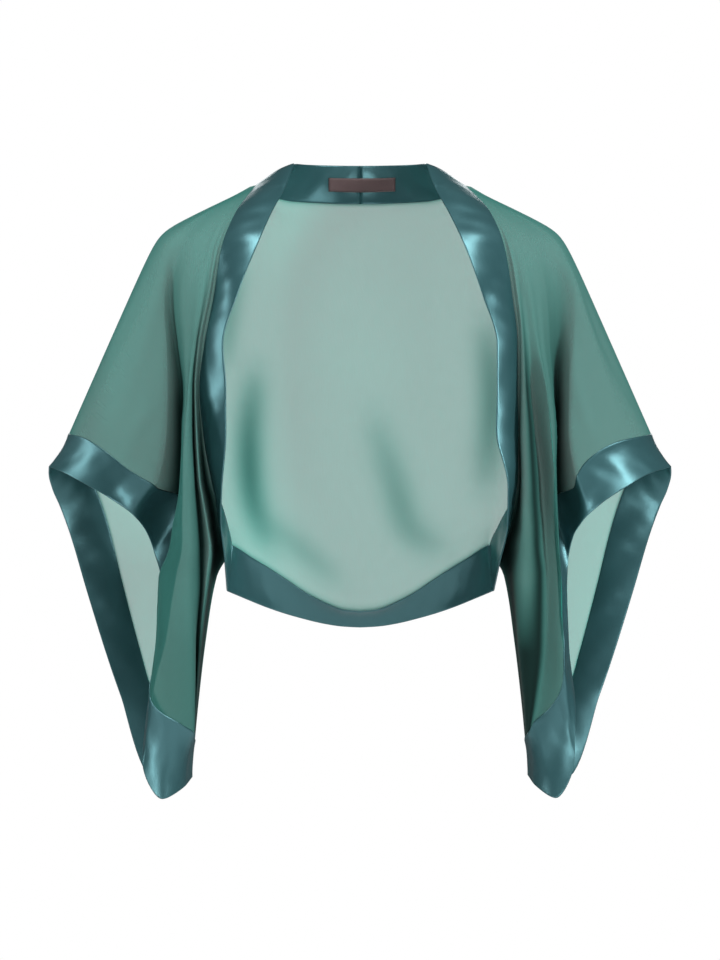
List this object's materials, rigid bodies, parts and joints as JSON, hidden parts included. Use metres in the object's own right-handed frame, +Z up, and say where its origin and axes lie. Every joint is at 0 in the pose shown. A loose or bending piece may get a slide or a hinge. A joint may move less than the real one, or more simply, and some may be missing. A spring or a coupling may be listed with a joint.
{
  "type": "bolero jacket",
  "caption": "Open bolero jacket with wide kimono sleeves, sheer cloth with broad satin borders, filled out as worn with no wearer.",
  "frame": {"origin": "on the wearer's shoulder line, midway between the two sides of the neck, where the wearer holds the jacket up", "axes": "+Z up, -Y the way the wearer faces, +X to the wearer's left"},
  "size_m": [0.624, 0.2388, 0.6333],
  "materials": {
    "chiffon": "sheer crepe chiffon, matt",
    "satin": "glossy satin",
    "label": "plain woven tape"
  },
  "bodies": {
    "root": {"back": "chiffon", "front_right": "chiffon", "front_left": "chiffon", "front_band_right": "satin", "front_band_left": "satin", "hem_band": "satin", "cuff_band_right": "satin", "cuff_band_left": "satin", "label": "label"}
  },
  "joints": []
}
